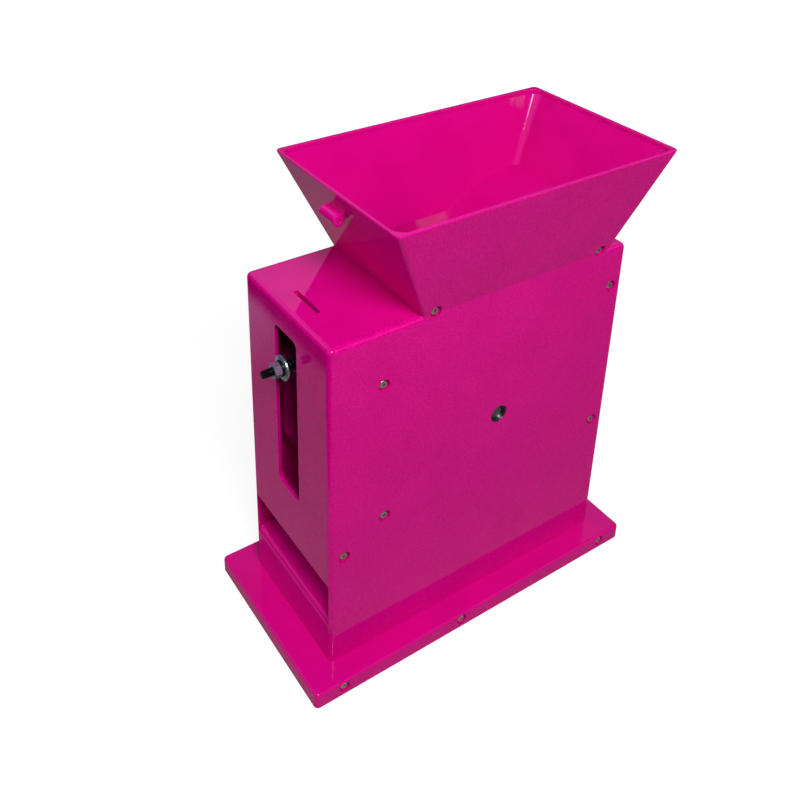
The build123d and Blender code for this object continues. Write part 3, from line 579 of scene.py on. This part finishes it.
# stage: to the camera all is white, and the floor keeps the soft shadow; mirrored rays see a pale sheet, dimmer to
# the front, on a dark floor, a bright patch of it behind the exit end, and a band of sky; lengths in metres
stageLook = {
    "floorSize": 6.0, "sheetColour": "#969696", "darkColour": "#181818", "sheetLeft": -0.312, "sheetBlur": 0.006,
    "frontShade": 0.3, "frontStart": -0.08, "frontFull": -0.16,
    "sheetToCamera": 0.85, "whiteStart": 0.4, "whiteFull": 1.0,
    "rearInReflections": 0.6, "rearStart": 0.3, "rearFull": 0.42, "patchRight": -0.12, "patchBlur": 0.08,
    "lowSkyInReflections": 0.02, "bandInReflections": 1.2, "bandStart": 0.36, "bandEnd": 0.76,
    "skyLight": 0.22, "mirroredColour": "#C0BCFF",
}
bpy.ops.object.select_all(action="DESELECT")
bpy.ops.mesh.primitive_plane_add(size=stageLook["floorSize"], location=(0, 0, 0))
floor = bpy.context.object
floor.name = "paleFloor"
floorMaterial, floorShader, floorPlace = startMaterial("pale floor, matt paint")
floorShader.inputs["Roughness"].default_value = 0.9
floorShader.inputs["Specular IOR Level"].default_value = 0.0
floor.data.materials.append(floorMaterial)

world = bpy.data.worlds.new("studio")
bpy.context.scene.world = world
world.use_nodes = True
sky = world.node_tree.nodes["Background"]


def levelByRay(owner, inReflections, asLight):
    # one strength for glossy and transmission rays, one for the rays that carry soft light, and 1, which is white,
    # for camera rays unless something feeds To Max
    rays = addNode(owner, "ShaderNodeLightPath")
    mirrored = addNode(owner, "ShaderNodeMath", {"operation": "MAXIMUM"}, links={
        0: rays.outputs["Is Glossy Ray"], 1: rays.outputs["Is Transmission Ray"]})
    indirect = addNode(owner, "ShaderNodeMapRange", inputs={"To Min": asLight}, links={
        "Value": mirrored.outputs[0], "To Max": inReflections})
    return addNode(owner, "ShaderNodeMapRange", links={
        "Value": rays.outputs["Is Camera Ray"], "To Min": indirect.outputs["Result"]})


def colourByRay(owner, mirroredColour):
    # white, but for glossy rays
    rays = addNode(owner, "ShaderNodeLightPath")
    return addNode(owner, "ShaderNodeMix", {"data_type": "RGBA"}, {
        6: (1, 1, 1, 1), 7: linearColour(mirroredColour)}, {0: rays.outputs["Is Glossy Ray"]}).outputs[2]


floorAxes = addNode(floorMaterial, "ShaderNodeSeparateXYZ", links={"Vector": floorPlace})
onSheet = addNode(floorMaterial, "ShaderNodeMapRange", inputs={
    "From Min": stageLook["sheetLeft"] - stageLook["sheetBlur"],
    "From Max": stageLook["sheetLeft"] + stageLook["sheetBlur"]}, links={"Value": floorAxes.outputs["X"]})
towardsRear = addNode(floorMaterial, "ShaderNodeMapRange", inputs={
    "From Min": stageLook["frontFull"], "From Max": stageLook["frontStart"], "To Min": 1 - stageLook["frontShade"]},
    links={"Value": floorAxes.outputs["Y"]})
sheetTone = addNode(floorMaterial, "ShaderNodeMath", {"operation": "MULTIPLY"}, links={
    0: onSheet.outputs["Result"], 1: towardsRear.outputs["Result"]})
floorTone = addNode(floorMaterial, "ShaderNodeMix", {"data_type": "RGBA"}, {
    6: linearColour(stageLook["darkColour"]), 7: linearColour(stageLook["sheetColour"])},
    {0: sheetTone.outputs[0]})
feed(floorMaterial, floorShader, "Base Color", floorTone.outputs[2])
rear = addNode(floorMaterial, "ShaderNodeMapRange", inputs={
    "From Min": stageLook["rearStart"], "From Max": stageLook["rearFull"],
    "To Max": stageLook["rearInReflections"]}, links={"Value": floorAxes.outputs["Y"]})
behindEnd = addNode(floorMaterial, "ShaderNodeMapRange", inputs={
    "From Min": stageLook["patchRight"] - stageLook["patchBlur"], "From Max": stageLook["patchRight"],
    "To Min": 1.0, "To Max": 0.1}, links={"Value": floorAxes.outputs["X"]})
rearLeft = addNode(floorMaterial, "ShaderNodeMath", {"operation": "MULTIPLY"}, links={
    0: rear.outputs["Result"], 1: behindEnd.outputs["Result"]})
rearSheet = addNode(floorMaterial, "ShaderNodeMath", {"operation": "MULTIPLY"}, links={
    0: rearLeft.outputs[0], 1: onSheet.outputs["Result"]})
distance = addNode(floorMaterial, "ShaderNodeVectorMath", {"operation": "LENGTH"}, links={0: floorPlace})
farWhite = addNode(floorMaterial, "ShaderNodeMapRange", inputs={
    "From Min": stageLook["whiteStart"], "From Max": stageLook["whiteFull"], "To Min": stageLook["sheetToCamera"]},
    links={"Value": distance.outputs["Value"]})
edgeWhite = addNode(floorMaterial, "ShaderNodeMapRange", inputs={
    "From Min": stageLook["sheetLeft"] + 0.01, "From Max": stageLook["sheetLeft"] + 0.06,
    "To Min": 1.0, "To Max": 0.0}, links={"Value": floorAxes.outputs["X"]})
floorWhite = addNode(floorMaterial, "ShaderNodeMath", {"operation": "MAXIMUM"}, links={
    0: farWhite.outputs["Result"], 1: edgeWhite.outputs["Result"]})
feed(floorMaterial, floorShader, "Emission Color", colourByRay(floorMaterial, stageLook["mirroredColour"]))
floorLevel = levelByRay(floorMaterial, rearSheet.outputs[0], 0.0)
feed(floorMaterial, floorLevel, "To Max", floorWhite.outputs[0])
feed(floorMaterial, floorShader, "Emission Strength", floorLevel.outputs["Result"])

skyWay = addNode(world, "ShaderNodeTexCoord").outputs["Generated"]
skyHeight = addNode(world, "ShaderNodeSeparateXYZ", links={"Vector": skyWay}).outputs["Z"]
skyRise = addNode(world, "ShaderNodeMapRange", inputs={
    "From Min": stageLook["bandStart"], "From Max": stageLook["bandStart"] + 0.2,
    "To Min": stageLook["lowSkyInReflections"], "To Max": stageLook["bandInReflections"]}, links={"Value": skyHeight})
skyFall = addNode(world, "ShaderNodeMapRange", inputs={
    "From Min": stageLook["bandEnd"] - 0.14, "From Max": stageLook["bandEnd"], "To Min": 1.0, "To Max": 0.1},
    links={"Value": skyHeight})
skyMirror = addNode(world, "ShaderNodeMath", {"operation": "MULTIPLY"}, links={
    0: skyRise.outputs["Result"], 1: skyFall.outputs["Result"]})
skyLevel = levelByRay(world, skyMirror.outputs[0], stageLook["skyLight"])
feed(world, sky, "Color", colourByRay(world, stageLook["mirroredColour"]))
feed(world, sky, "Strength", skyLevel.outputs["Result"])


def softbox(name, way, distance, size, share, mirrored):
    # way points from the object to the lamp; share is how much of its own colour a matt face turned to it shows
    data = bpy.data.lights.new(name, "AREA")
    data.shape = "SQUARE"
    data.size = size
    data.energy = share * math.pi ** 2 * distance ** 2
    lamp = bpy.data.objects.new(name, data)
    lamp.location = Vector((0, 0, 0.2)) + Vector(way).normalized() * distance
    lamp.rotation_euler = Vector(way).to_track_quat("Z", "Y").to_euler()
    lamp.visible_camera = False
    lamp.visible_glossy = mirrored
    bpy.context.scene.collection.objects.link(lamp)


softbox("keySoftbox", (-0.25, -0.60, 0.76), 1.12, 0.36, 0.76, True)
softbox("frontFill", (0.10, -0.95, 0.29), 1.4, 0.8, 0.14, False)
softbox("leftFill", (-0.90, 0.20, 0.30), 1.8, 1.0, 0.14, False)
softbox("rearFill", (-0.45, 0.89, 0.10), 1.8, 1.0, 0.11, False)
bpy.context.scene.view_settings.view_transform = "Standard"
print("stage lit")
